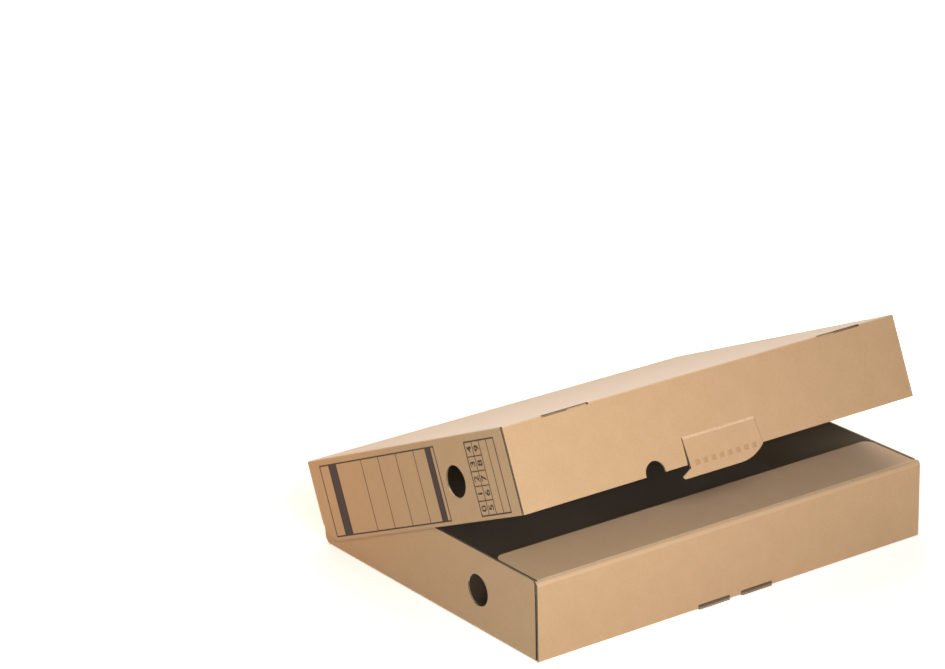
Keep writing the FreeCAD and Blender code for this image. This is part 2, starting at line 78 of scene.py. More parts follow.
# How each panel lies in the closed box: where its printed or outer face looks, which way its flutes run,
# the edges at which it rounds over into its neighbour, and how much the fold pales the liner there, partly
# as the stretched liner's own paling and partly as a painted highlight on the round. Every other edge is
# cut. A corner flap's outer face looks into the narrow joint behind a front wall, and near the box's end it
# is painted dark as the joint's shade.
PANELS = {
    "bottom_panel": (-Z, Y, (), 0),
    "tray_front_wall": (-Y, Z, (-Z,), 0.75),
    "tray_front_roll": (FORWARD_UP, X.cross(FORWARD_UP), (FORWARD_UP,), 0.3),
    "tray_left_end_wall": (-X, Y, (-Z,), 0.75),
    "tray_right_end_wall": (X, Y, (-Z,), 0.75),
    "tray_left_corner_flap": (-Y, X, (-X,), 0),
    "tray_right_corner_flap": (-Y, X, (X,), 0),
    "retaining_flap": (Z, Y, (), 0),
    "back_wall": (Y, Z, (Z, -Z), 0.75),
    "lid_top_panel": (Z, Y, (), 0),
    "lid_front_wall": (-Y, Z, (Z,), 0.75),
    "lid_left_end_wall": (-X, Y, (Z,), 0.75),
    "lid_right_end_wall": (X, Y, (Z,), 0.75),
    "lid_left_corner_flap": (-Y, X, (-X,), 0),
    "lid_right_corner_flap": (-Y, X, (X,), 0),
    "closing_tongue": (-Y, Z, (), 0),
    "tongue_tip": (-Y, Z, (), 0),
}


def linear(code):
    """Turns an sRGB hex colour into scene-linear red, green and blue."""
    parts = [int(code[i:i + 2], 16) / 255 for i in (1, 3, 5)]
    return tuple(c / 12.92 if c <= 0.04045 else ((c + 0.055) / 1.055) ** 2.4 for c in parts)


def joint(name):
    return next(j for j in frame["joints"] if j["name"] == name)


def opening_turn(point, degrees):
    """The turn that lifts the front of the box about a crease through the point."""
    return (Matrix.Translation(point) @ Matrix.Rotation(math.radians(-degrees), 4, X)
            @ Matrix.Translation(-Vector(point)))


def resting_places():
    """Where the back wall and the lid have moved to, from their places in the closed box."""
    lower, upper = joint("back_wall_crease"), joint("lid_crease")
    back_wall = opening_turn(Vector(lower["pos_m"]), -lower["range_deg"][0])
    closed_upper = back_wall.inverted() @ Vector(upper["pos_m"])
    lid = back_wall @ opening_turn(closed_upper, -upper["range_deg"][0])
    places = {name: Matrix.Identity(4) for name in frame["bodies"]}
    places["back_wall"] = back_wall
    for name in ("lid", "closing_tongue", "tongue_tip"):
        places[name] = lid
    return places


PLACES = resting_places()

# The soft lamps: place, the point that each shines on, size in metres, power in watts and colour.
LAMPS = {
    "front_lamp": ((-0.42, -0.85, 0.62), (0, -0.16, 0.08), (0.6, 0.5), 8.6, "#fffcfa"),
    "top_lamp": ((0.70, 1.30, 1.50), (0, 0, 0.15), (1.4, 1.4), 28, "#ffe9d2"),
    "end_lamp": ((-1.90, -0.20, 0.90), (-0.2, 0, 0.1), (1.2, 1.0), 1.7, "#c8ff70"),
    "hinge_lamp": ((-0.42, 0.24, 0.14), (-0.215, 0.16, 0.07), (0.12, 0.12), 0.14, "#ffa838"),
}

# How the kraft liner's noise is read: the share of clouds beside fine grain, the values between which the
# liner swings from its darker tone to its lighter one, and the peaks at which a dark fibre shows.
CLOUD_SHARE = 0.4
MOTTLE = (0.35, 0.65)
FIBRE_PEAKS = (0.56, 0.74)
FIBRE_STRENGTH = 0.45
FIBRE_SLENDER = 9
# The washboard's stripes are painted shade: the liner is drawn a little lighter and darker along the flutes,
# as light falls on their ripple.
WASHBOARD_STRENGTH = 0.06
PRESSED_STRENGTH = 0.8
INK_GRAIN = 0.8 * MM
INK_THIN = (0.45, 0.8)

# How far a face has to look a certain way, as the cosine of the angle between them, before it starts to count
# as looking there and before it fully does.
TO_FOLD = (0.1, 0.4)
TO_FACE = (0.4, 0.8)
TO_OUTSIDE = (0.8, 0.9)
TO_INSIDE = (-0.3, -0.6)
TO_JOINT = (0.25, 0.6)
TO_FLUTE_END = (0.2, 0.6)

# Where the liners start, from the board's middle, and where the flute's paper ends, from the wave's middle.
LINER_BACK = (0.5 * MM, 0.6 * MM)
FLUTE_FADE = (0.1 * MM, 0.22 * MM)
# Over how far the painted shade in a corner joint fades in.
JOINT_FADE = 2 * MM

# How far the washboard and a cut edge's paper stand out beside the fibres, and the height of these bumps.
WASHBOARD_BUMP = 0.25
PAPER_BUMP = 6.0
BUMP_HEIGHT = 0.03 * MM

# Where the ruled label's dark bars and its lines stand, behind the lid's front.
LABEL_BARS = ((116.5 * MM, 126 * MM), (277 * MM, 291 * MM))
LABEL_LINES = (145 * MM, 174.5 * MM, 204.5 * MM, 234 * MM)
LEVEL_THICKER = 1.25

# The typeface's digits, as shares: their height in the type size, and how much bolder they are printed.
DIGIT_SHARE = 0.7
BOLDER = 0.03

# Points that lie nearer together than this are at the same height.
SAME = 0.01 * MM

# The arc over a back crease is laid in steps of so many degrees.
BEND_STEP = 15

SENSOR_WIDTH = 36
CLIP_END = 50
FLOOR_SIZE = 12
FLOOR_DROP = 0.3 * MM


def resting_place(node):
    """How the panel has moved from its place in the closed box."""
    return PLACES[frame["nodes"][node]["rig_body"]]


def closed_points(node):
    """The panel's corner points in the closed box, in metres."""
    back = resting_place(node).inverted()
    return [back @ vertex.co for vertex in frame["nodes"][node].data.vertices]


def closed_box(node):
    """Lowest and highest corner of the panel in the closed box."""
    corners = closed_points(node)
    low = Vector([min(c[i] for c in corners) for i in range(3)])
    high = Vector([max(c[i] for c in corners) for i in range(3)])
    return low, high


def edge_points(node, height):
    """The panel's corner points at a height of the closed box."""
    return [point for point in closed_points(node) if abs(point.z - height) < SAME]


class BoardSettings(bpy.types.PropertyGroup):
    """Corrugated board with brown kraft liners."""
    liner: bpy.props.FloatVectorProperty(
        name="Liner", description="Colour of the smooth kraft liner", subtype="COLOR",
        default=linear("#cfab85"), min=0, max=1)
    liner_shade: bpy.props.FloatVectorProperty(
        name="Liner shade", description="Darker tone of the liner's cloudy formation", subtype="COLOR",
        default=linear("#c9a47d"), min=0, max=1)
    inner_liner: bpy.props.FloatVectorProperty(
        name="Inner liner", description="Colour of the greyer liner on the box's inside", subtype="COLOR",
        default=linear("#8c7b66"), min=0, max=1)
    fibre: bpy.props.FloatVectorProperty(
        name="Fibre", description="Colour of the single dark fibres in the liner", subtype="COLOR",
        default=linear("#bc946b"), min=0, max=1)
    # Besides the stretched liner's own paling, this pale colour paints the highlight that a fold's round
    # catches.
    crease: bpy.props.FloatVectorProperty(
        name="Crease", description="Liner that a fold has stretched until it pales", subtype="COLOR",
        default=linear("#e6c8a8"), min=0, max=1)
    # Painted shade: the liner in a corner joint is drawn in this dark colour because the board keeps the
    # light out there.
    joint: bpy.props.FloatVectorProperty(
        name="Joint", description="Liner deep in a corner joint, where the board keeps the light out",
        subtype="COLOR", default=linear("#1e150f"), min=0, max=1)
    joint_reach: bpy.props.FloatProperty(
        name="Joint's reach", description="How far in from the box's end the joint keeps the light out",
        default=6 * MM, unit="LENGTH", min=0, max=50 * MM)
    cut: bpy.props.FloatVectorProperty(
        name="Cut edge", description="Bare fibre of the liners and the flute at a cut edge", subtype="COLOR",
        default=linear("#d8bb96"), min=0, max=1)
    hollow: bpy.props.FloatVectorProperty(
        name="Flute hollow", description="Shaded hollow between the flutes at a cut edge", subtype="COLOR",
        default=linear("#33241a"), min=0, max=1)
    flute_pitch: bpy.props.FloatProperty(
        name="Flute pitch", description="Distance from one flute to the next", default=3.2 * MM,
        unit="LENGTH", min=MM, max=10 * MM)
    flute_height: bpy.props.FloatProperty(
        name="Flute height", description="Half the height of the flute's wave", default=0.5 * MM,
        unit="LENGTH", min=0.1 * MM, max=3 * MM)
    fibre_length: bpy.props.FloatProperty(
        name="Fibre length", description="Length of a fibre, drawn longer than real so that it shows",
        default=4 * MM, unit="LENGTH", min=MM, max=20 * MM)
    grain_size: bpy.props.FloatProperty(
        name="Grain size", description="Size of the fine mottling, drawn coarser than real so that it shows",
        default=1.4 * MM, unit="LENGTH", min=0.2 * MM, max=10 * MM)
    cloud_size: bpy.props.FloatProperty(
        name="Cloud size", description="Size of the liner's cloudy patches", default=22 * MM,
        unit="LENGTH", min=MM, max=100 * MM)
    crease_width: bpy.props.FloatProperty(
        name="Crease width", description="Width of the pressed strip of liner over a crease",
        default=2.2 * MM, unit="LENGTH", min=0.5 * MM, max=10 * MM)
    crease_ridge: bpy.props.FloatProperty(
        name="Crease ridge", description="Height of the ridge that the creasing rule leaves",
        default=0.25 * MM, unit="LENGTH", min=0, max=MM)
    liner_thickness: bpy.props.FloatProperty(
        name="Liner thickness", description="How far the strip of liner over a crease stands on the board",
        default=0.06 * MM, unit="LENGTH", min=0.01 * MM, max=0.5 * MM)


class PrintSettings(bpy.types.PropertyGroup):
    """The ruled label and the number grid on the lid's left end wall."""
    ink: bpy.props.FloatVectorProperty(
        name="Ink", description="Dark brown printing ink", subtype="COLOR",
        default=linear("#382825"), min=0, max=1)
    thickness: bpy.props.FloatProperty(
        name="Ink thickness", description="How far the print stands on the board", default=0.03 * MM,
        unit="LENGTH", min=0.01 * MM, max=0.2 * MM)
    border: bpy.props.FloatProperty(
        name="Border line", description="Width of the outer lines", default=1.3 * MM,
        unit="LENGTH", min=0.2 * MM, max=3 * MM)
    rule: bpy.props.FloatProperty(
        name="Thin line", description="Width of the lines inside a frame", default=0.95 * MM,
        unit="LENGTH", min=0.2 * MM, max=3 * MM)
    digit_height: bpy.props.FloatProperty(
        name="Digit height", description="Height of a digit in the number grid", default=7 * MM,
        unit="LENGTH", min=MM, max=20 * MM)
    digit_widening: bpy.props.FloatProperty(
        name="Digit widening", description="How much wider than the plain typeface the digits are",
        default=1.15, min=0.5, max=2)


class StageSettings(bpy.types.PropertyGroup):
    """Camera, lamps and floor."""
    focal_length: bpy.props.FloatProperty(
        name="Focal length", description="Camera's focal length, on a 36 mm wide sensor", default=131.1,
        unit="CAMERA", min=20, max=400)
    yaw: bpy.props.FloatProperty(
        name="Yaw", description="How far the camera looks to the right of straight at the front wall",
        default=math.radians(35.39), subtype="ANGLE")
    pitch: bpy.props.FloatProperty(
        name="Pitch", description="How far the camera looks down",
        default=math.radians(20.20), subtype="ANGLE")
    roll: bpy.props.FloatProperty(
        name="Roll", description="How far the camera leans", default=math.radians(-1.24), subtype="ANGLE")
    distance: bpy.props.FloatProperty(
        name="Distance", description="From the camera to the point that it looks at", default=2.9253,
        unit="LENGTH", min=0.5, max=20)
    target: bpy.props.FloatVectorProperty(
        name="Target", description="Point that the camera looks at", subtype="TRANSLATION", unit="LENGTH",
        default=(-0.16096, 0, 0.23373))
    floor: bpy.props.FloatVectorProperty(
        name="Floor", description="Colour of the floor", subtype="COLOR",
        default=linear("#f6f5f3"), min=0, max=1)
    floor_lift: bpy.props.FloatProperty(
        name="Floor lift", description="How far the camera sees the floor near the box lifted towards white",
        default=0.5, min=0, max=1)
    floor_near: bpy.props.FloatProperty(
        name="Near floor", description="How far from the box's middle the floor starts to rise to full white",
        default=0.22, unit="LENGTH", min=0, max=5)
    floor_far: bpy.props.FloatProperty(
        name="Far floor", description="How far from the box's middle the floor is fully white",
        default=0.6, unit="LENGTH", min=0.1, max=10)
    lamps: bpy.props.FloatProperty(
        name="Lamps", description="Power of the soft lamps, as a share of their plain level",
        default=1, min=0, max=4)
    sky: bpy.props.FloatProperty(
        name="Surroundings", description="Strength of the pale surroundings", default=0.05, min=0, max=2)
    sky_colour: bpy.props.FloatVectorProperty(
        name="Surroundings' colour", description="Colour of the pale surroundings", subtype="COLOR",
        default=linear("#f8ffd8"), min=0, max=1)


def add_node(tree, kind, settings=None, inputs=None):
    """Adds a shader node, sets its options, and fills or links its inputs by name or number."""
    node = tree.nodes.new(kind)
    for name, value in (settings or {}).items():
        setattr(node, name, value)
    for key, value in (inputs or {}).items():
        if isinstance(value, bpy.types.NodeSocket):
            tree.links.new(value, node.inputs[key])
        else:
            node.inputs[key].default_value = value
    return node


def math_node(tree, operation, *values):
    """Adds a Math node and returns its result."""
    inputs = dict(enumerate(values))
    return add_node(tree, "ShaderNodeMath", {"operation": operation}, inputs).outputs[0]


def colour_mix(tree, factor, first, second):
    """Mixes two colours, each a colour or another node's output, and returns the result."""
    colours = [value if isinstance(value, bpy.types.NodeSocket) else (*value, 1) for value in (first, second)]
    inputs = {0: factor, 6: colours[0], 7: colours[1]}
    return add_node(tree, "ShaderNodeMix", {"data_type": "RGBA"}, inputs).outputs[2]


def ramp(tree, value, low, high):
    """Rises smoothly from 0 at low to 1 at high."""
    inputs = {"Value": value, "From Min": low, "From Max": high}
    return add_node(tree, "ShaderNodeMapRange", {"interpolation_type": "SMOOTHSTEP"}, inputs).outputs[0]


def noise(tree, place, size, detail=2.0, roughness=0.7):
    """Adds a noise texture with patches of a size in metres, and returns its value."""
    inputs = {"Vector": place, "Scale": 1 / size, "Detail": detail, "Roughness": roughness}
    return add_node(tree, "ShaderNodeTexNoise", None, inputs).outputs[0]


def new_material(name):
    material = bpy.data.materials.new(name)
    material.use_nodes = True
    material.node_tree.nodes.clear()
    return material


def finish_material(tree, shader):
    add_node(tree, "ShaderNodeOutputMaterial", None, {"Surface": shader.outputs[0]})


def panel_axes(node):
    """The panel's own axes at rest, the edges at which it rounds over, and how much a fold pales it there,
    partly as a painted highlight on the round.

    The axes run across the flutes, along the flutes and out of the outer face. The edges are given in them.
    """
    outward, flutes, folds, paling_and_highlight = PANELS[node]
    across = flutes.cross(outward)
    closed = Matrix((across, flutes, outward)).transposed()
    return resting_place(node).to_3x3() @ closed, [closed.transposed() @ fold for fold in folds], paling_and_highlight


def panel_middle(node):
    """The middle of the panel at rest."""
    low, high = closed_box(node)
    return resting_place(node) @ ((low + high) / 2)


def joint_shade(tree, node, place, outward, look):
    """Rises to 1 where a corner flap's outer face lies behind the end of the front wall: the mask of the
    painted shade in the joint.
    """
    from_middle = add_node(tree, "ShaderNodeSeparateXYZ", None, {0: place}).outputs[0]
    from_middle = math_node(tree, "ABSOLUTE", from_middle)
    end = max(abs(corner.x) for corner in closed_box(node))
    near = ramp(tree, from_middle, end - look.joint_reach - JOINT_FADE, end - look.joint_reach)
    return math_node(tree, "MULTIPLY", ramp(tree, outward, *TO_JOINT), near)


def kraft_board(node, look):
    """Single-wall corrugated board, E flute, with machine-finished kraft liners.

    The liner gives a warm matt brown with soft clouds, fine mottling, a few darker fibres and the faint
    washboard of the flutes under it, whose stripes of light and shade are painted into the colour beside its
    bump. A fold pales the liner, partly as the stretched liner's own paling and partly as a painted highlight
    on the round. Near the box's end a corner flap's outer face is painted dark as the shade in its joint. A
    cut across the flutes shows their wave, and a cut along them an open groove between two pale liners. Loose
    fibres on the liner catch the light at a flat angle, which the sheen stands for.
    """
    material = new_material("kraft_board_" + node)
    tree = material.node_tree
    axes, folds, paling_and_highlight = panel_axes(node)
    turn = axes.to_euler()
    source = add_node(tree, "ShaderNodeTexCoord")
    place = add_node(tree, "ShaderNodeMapping", {"vector_type": "TEXTURE"}, {
        "Vector": source.outputs["Object"], "Location": panel_middle(node), "Rotation": turn}).outputs[0]
    facing = add_node(tree, "ShaderNodeMapping", {"vector_type": "TEXTURE"}, {
        "Vector": source.outputs["Normal"], "Rotation": turn}).outputs[0]
    across, _, through = add_node(tree, "ShaderNodeSeparateXYZ", None, {0: place}).outputs
    _, lengthways, outward = add_node(tree, "ShaderNodeSeparateXYZ", None, {0: facing}).outputs
    wave = math_node(tree, "SINE", math_node(tree, "MULTIPLY", across, 2 * math.pi / look.flute_pitch))
    folded = 0.0
    for fold in folds:
        inputs = {0: facing, 1: fold}
        toward = add_node(tree, "ShaderNodeVectorMath", {"operation": "DOT_PRODUCT"}, inputs).outputs["Value"]
        folded = math_node(tree, "MAXIMUM", folded, ramp(tree, toward, *TO_FOLD))
    edge = math_node(tree, "SUBTRACT", 1.0, ramp(tree, math_node(tree, "ABSOLUTE", outward), *TO_FACE))
    edge = math_node(tree, "MULTIPLY", edge, math_node(tree, "SUBTRACT", 1.0, folded))

    clouds = noise(tree, place, look.cloud_size, detail=3.0, roughness=0.6)
    grain = noise(tree, place, look.grain_size)
    stretched = add_node(tree, "ShaderNodeMapping", {"vector_type": "POINT"}, {
        "Vector": place, "Scale": (FIBRE_SLENDER, 1, FIBRE_SLENDER)}).outputs[0]
    fibres = noise(tree, stretched, look.fibre_length)
    # Painted shade: lighter and darker stripes along the flutes, for the light on the washboard's ripple.
    washboard = math_node(tree, "MULTIPLY", wave, WASHBOARD_STRENGTH)
    cloudy = math_node(tree, "MULTIPLY", clouds, CLOUD_SHARE)
    grainy = math_node(tree, "MULTIPLY", grain, 1 - CLOUD_SHARE)
    mottled = ramp(tree, math_node(tree, "ADD", cloudy, grainy), *MOTTLE)
    liner = colour_mix(tree, math_node(tree, "ADD", mottled, washboard), look.liner_shade, look.liner)
    fibrous = math_node(tree, "MULTIPLY", ramp(tree, fibres, *FIBRE_PEAKS), FIBRE_STRENGTH)
    liner = colour_mix(tree, fibrous, liner, look.fibre)
    # The fold's paling: partly the stretched liner, partly a painted highlight on the round.
    liner = colour_mix(tree, math_node(tree, "MULTIPLY", folded, paling_and_highlight), liner, look.crease)
    liner = colour_mix(tree, ramp(tree, outward, *TO_INSIDE), liner, look.inner_liner)
    # Painted shade: a corner flap's outer face near the box's end is drawn dark, as the joint keeps the light
    # out.
    if node.endswith("corner_flap"):
        shade = joint_shade(tree, node, source.outputs["Object"], outward, look)
        liner = colour_mix(tree, shade, liner, look.joint)
    sunk = ramp(tree, through, LINER_BACK[1], LINER_BACK[0])
    pressed = math_node(tree, "MULTIPLY", ramp(tree, outward, *TO_OUTSIDE), sunk)
    liner = colour_mix(tree, math_node(tree, "MULTIPLY", pressed, PRESSED_STRENGTH), liner, look.fibre)

    flute_line = math_node(tree, "MULTIPLY", wave, look.flute_height)
    from_flute = math_node(tree, "ABSOLUTE", math_node(tree, "SUBTRACT", through, flute_line))
    on_flute = math_node(tree, "SUBTRACT", 1.0, ramp(tree, from_flute, *FLUTE_FADE))
    across_flutes = ramp(tree, math_node(tree, "ABSOLUTE", lengthways), *TO_FLUTE_END)
    on_flute = math_node(tree, "MULTIPLY", on_flute, across_flutes)
    on_liner = ramp(tree, math_node(tree, "ABSOLUTE", through), *LINER_BACK)
    paper = math_node(tree, "MAXIMUM", on_flute, on_liner)
    cut = colour_mix(tree, paper, look.hollow, look.cut)
    colour = colour_mix(tree, edge, liner, cut)

    height = math_node(tree, "ADD", math_node(tree, "MULTIPLY", wave, WASHBOARD_BUMP), fibres)
    edge_height = math_node(tree, "MULTIPLY", math_node(tree, "MULTIPLY", paper, edge), PAPER_BUMP)
    bump = add_node(tree, "ShaderNodeBump", None, {
        "Strength": 0.5, "Distance": BUMP_HEIGHT, "Height": math_node(tree, "ADD", height, edge_height)})
    shader = add_node(tree, "ShaderNodeBsdfPrincipled", None, {
        "Base Color": colour, "Roughness": 0.62, "IOR": 1.45, "Sheen Weight": 0.5, "Sheen Roughness": 0.4,
        "Normal": bump.outputs[0]})
    finish_material(tree, shader)
    return material


def scored_liner(look):
    """Kraft liner that a creasing rule has pressed and a fold has stretched: smoother, and paler partly by
    its own paling and partly as a painted highlight on the crease.
    """
    material = new_material("scored_liner")
    tree = material.node_tree
    place = add_node(tree, "ShaderNodeTexCoord").outputs["Object"]
    grain = noise(tree, place, look.grain_size)
    half_pale = tuple((a + b) / 2 for a, b in zip(look.crease, look.liner))
    colour = colour_mix(tree, ramp(tree, grain, *MOTTLE), half_pale, look.crease)
    bump = add_node(tree, "ShaderNodeBump", None, {"Strength": 0.4, "Distance": BUMP_HEIGHT, "Height": grain})
    shader = add_node(tree, "ShaderNodeBsdfPrincipled", None, {
        "Base Color": colour, "Roughness": 0.6, "IOR": 1.45, "Normal": bump.outputs[0]})
    finish_material(tree, shader)
    return material


def printing_ink(look):
    """Water-based flexographic ink on kraft: dark brown and dull, and thinner where the liner is rough."""
    material = new_material("printing_ink")
    tree = material.node_tree
    place = add_node(tree, "ShaderNodeTexCoord").outputs["Object"]
    grain = noise(tree, place, INK_GRAIN, roughness=0.6)
    thin = tuple(min(1, value * 1.5) for value in look.ink)
    colour = colour_mix(tree, ramp(tree, grain, *INK_THIN), look.ink, thin)
    shader = add_node(tree, "ShaderNodeBsdfPrincipled", None, {
        "Base Color": colour, "Roughness": 0.7, "IOR": 1.45})
    finish_material(tree, shader)
    return material


def start_piece(name):
    """Adds an empty mesh object, open in edit mode, for primitives to be added to."""
    if bpy.context.mode != "OBJECT":
        bpy.ops.object.mode_set(mode="OBJECT")
    bpy.ops.object.select_all(action="DESELECT")
    mesh = bpy.data.meshes.new(name)
    piece = bpy.data.objects.new(name, mesh)
    bpy.context.scene.collection.objects.link(piece)
    bpy.context.view_layer.objects.active = piece
    piece.select_set(True)
    bpy.ops.object.mode_set(mode="EDIT")
    return piece


def print_start():
    """Where the print's places are counted from: the end wall's face, the lid's front and the lower edge."""
    wall = closed_box("lid_left_end_wall")[0]
    return wall.x, closed_box("lid_front_wall")[0].y, wall.z


def print_patch(near, far, low, high, thickness):
    """Adds one printed patch, from near to far behind the front and from low to high over the lower edge."""
    face, front, base = print_start()
    middle = (face - thickness / 2, front + (near + far) / 2, base + (low + high) / 2)
    bpy.ops.mesh.primitive_cube_add(size=1, location=middle, scale=(thickness, far - near, high - low))


def upright_line(place, low, high, line, thickness):
    print_patch(place - line / 2, place + line / 2, low, high, thickness)


def level_line(near, far, place, line, thickness):
    """Adds a line that crosses the upright ones, a little thicker so that no two faces lie in one plane."""
    print_patch(near, far, place - line / 2, place + line / 2, LEVEL_THICKER * thickness)


def ruled_frame(near, far, low, high, line, thickness):
    """Adds the four lines of a frame."""
    for place in (near, far):
        upright_line(place, low, high, line, thickness)
    for place in (low, high):
        level_line(near - line / 2, far + line / 2, place, line, thickness)


def place_on(body, piece):
    """Tilts what was drawn on the closed box to its body's place at rest."""
    bpy.ops.object.mode_set(mode="OBJECT")
    piece.matrix_world = PLACES[body] @ piece.matrix_world
    bpy.ops.object.select_all(action="DESELECT")
    piece.select_set(True)
    bpy.context.view_layer.objects.active = piece
    bpy.ops.object.transform_apply(location=True, rotation=True, scale=True)


class ARCHIVEBOX_OT_board(bpy.types.Operator):
    """Gives every panel its corrugated board"""
    bl_idname = "archive_box.board"
    bl_label = "Board"

    def execute(self, context):
        look = context.scene.archive_board
        for node, item in frame["nodes"].items():
            item.data.materials.clear()
            item.data.materials.append(kraft_board(node, look))
        return {"FINISHED"}


def select_points(piece, wanted):
    """Selects the piece's points that pass a test, in edit mode."""
    bpy.ops.object.mode_set(mode="EDIT")
    bpy.ops.mesh.select_mode(type="VERT")
    bpy.ops.mesh.select_all(action="DESELECT")
    bpy.ops.object.mode_set(mode="OBJECT")
    for vertex in piece.data.vertices:
        vertex.select = wanted(vertex.co)
    bpy.ops.object.mode_set(mode="EDIT")


class ARCHIVEBOX_OT_creases(bpy.types.Operator):
    """Lays the unbroken outer liner over each crease that turns"""
    bl_idname = "archive_box.creases"
    bl_label = "Creases"

    def execute(self, context):
        look = context.scene.archive_board
        self.bend_back_creases(look)
        # The pale strips over the retaining flap's roll and the tongue's crease are partly a painted
        # highlight.
        pale = scored_liner(look)
        plain = bpy.data.materials["kraft_board_tongue_tip"]
        pieces = (
            (self.retaining_crease(look), pale, "tray", "retaining_flap", Y),
            (self.tongue_crease(look), pale, "lid", "closing_tongue", -Z),
            (self.tip_crease(look), plain, "closing_tongue", "tongue_tip", -Z),
        )
        for piece, liner, first, second, toward in pieces:
            place_on(first, piece)
            piece.data.materials.append(liner)
            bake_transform(piece)
        return {"FINISHED"}

    def bend_back_creases(self, look):
        """The liner is whole between the arches of the lower crease, and all along the upper one."""
        low, high = closed_box("back_wall")
        board = high.y - low.y
        stops = sorted({round(point.x, 5) for point in edge_points("back_wall", low.z + board)})
        lands = list(zip(stops[::2], stops[1::2]))
        self.bend_liner("lower_back_liner", "tray", -Z, low.z + board, lands, look)
        self.bend_liner("upper_back_liner", "lid", Z, high.z - board, [(low.x, high.x)], look)

    def bend_liner(self, name, neighbour, toward, height, spans, look):
        """Bends the outer liner round one edge of the back wall and over the gap to its neighbour.

        The edge's round starts at the given height. The liner laps onto the wall's outer face, and between
        the two bodies each point rests between their places, by the share that the blend gives it.
        """
        low, high = closed_box("back_wall")
        reach = high.y - low.y + look.liner_thickness / 2
        centre = Vector((0, low.y, height))
        turns = [math.radians(degrees) for degrees in range(0, 91, BEND_STEP)]
        bend = [centre + reach * (math.cos(turn) * Y + math.sin(turn) * toward) for turn in turns]
        edge = Vector((0, closed_box("lid_top_panel")[1].y, bend[-1].z))
        chord = edge - bend[0]
        rest = []
        for point in bend + [edge]:
            share = min(1, max(0, (point - bend[0]).dot(chord) / chord.length_squared))
            share = share * share * (3 - 2 * share)
            rest.append((PLACES["back_wall"] @ point).lerp(PLACES[neighbour] @ point, share))
        lap = PLACES["back_wall"].to_3x3() @ toward * MM
        piece = start_piece(name)
        line = [rest[0] - lap, *rest]
        for left, right in spans:
            for near, far in zip(line, line[1:]):
                middle = (near + far) / 2 + X * (left + right) / 2
                turn = Y.rotation_difference(far - near).to_euler()
                bpy.ops.mesh.primitive_cube_add(
                    size=1, location=middle, rotation=turn,
                    scale=(right - left, (far - near).length, look.liner_thickness))
        bpy.ops.object.mode_set(mode="OBJECT")
        piece.data.materials.append(bpy.data.materials["kraft_board_back_wall"])
        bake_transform(piece)

    def strip(self, name, left, right, place, outward, look):
        """Lays one strip of liner along X, with the ridge that the creasing rule leaves in its middle."""
        piece = start_piece(name)
        turn = Z.rotation_difference(outward).to_euler()
        centre = Vector(((left + right) / 2, *place))
        bpy.ops.mesh.primitive_grid_add(
            x_subdivisions=8, y_subdivisions=8, size=1, location=centre, rotation=turn)
        across = X.cross(outward)
        middle = centre.dot(across)
        spread = X * (right - left) + across * look.crease_width + outward
        bpy.ops.transform.resize(value=[abs(share) for share in spread], center_override=centre)
        ridge = look.crease_width / 5
        select_points(piece, lambda point: abs(point.dot(across) - middle) < ridge)
        bpy.ops.transform.translate(value=outward * look.crease_ridge)
        bpy.ops.object.mode_set(mode="OBJECT")
        solid = piece.modifiers.new("liner", "SOLIDIFY")
        solid.thickness = look.liner_thickness
        solid.offset = 1
        bpy.ops.object.modifier_apply(modifier="liner")
        return piece

    def retaining_crease(self, look):
        low, high = closed_box("retaining_flap")
        return self.strip("retaining_score", low.x, high.x, (low.y, high.z), Z, look)

    def tongue_crease(self, look):
        low, high = closed_box("closing_tongue")
        span = [point.x for point in edge_points("closing_tongue", high.z)]
        return self.strip("tongue_score", min(span), max(span), (low.y, high.z), -Y, look)

    def tip_crease(self, look):
        """The strip over the tip's crease dips into each crush mark, so it is laid in steps.

        Plain crease and crush marks take turns, and both ends are plain.
        """
        top = closed_box("tongue_tip")[1].z
        points = edge_points("tongue_tip", top)
        stops = sorted({round(point.x, 6) for point in points})
        piece = start_piece("tip_score")
        outer, floor = sorted({round(point.y, 5) for point in points})[:2]
        for count, (near, far) in enumerate(zip(stops, stops[1:])):
            face = (floor if count % 2 else outer) - look.liner_thickness / 2
            bpy.ops.mesh.primitive_cube_add(
                size=1, location=((near + far) / 2, face, top + 0.2 * MM),
                scale=(far - near, look.liner_thickness, MM))
        bpy.ops.object.mode_set(mode="OBJECT")
        return piece


class ARCHIVEBOX_OT_label(bpy.types.Operator):
    """Prints the ruled label: a frame, two dark bars and four lines"""
    bl_idname = "archive_box.label"
    bl_label = "Ruled label"

    near: bpy.props.FloatProperty(name="Front end", default=112 * MM, unit="LENGTH")
    far: bpy.props.FloatProperty(name="Back end", default=306 * MM, unit="LENGTH")
    low: bpy.props.FloatProperty(name="Lower edge", default=3.8 * MM, unit="LENGTH")
    high: bpy.props.FloatProperty(name="Upper edge", default=68.6 * MM, unit="LENGTH")

    def execute(self, context):
        look = context.scene.archive_print
        piece = start_piece("ruled_label")
        ruled_frame(self.near, self.far, self.low, self.high, look.border, look.thickness)
        for near, far in LABEL_BARS:
            print_patch(near, far, self.low, self.high, look.thickness)
        for line in LABEL_LINES:
            upright_line(line, self.low, self.high, look.rule, look.thickness)
        place_on("lid", piece)
        piece.data.materials.append(printing_ink(look))
        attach(piece, "lid")
        return {"FINISHED"}


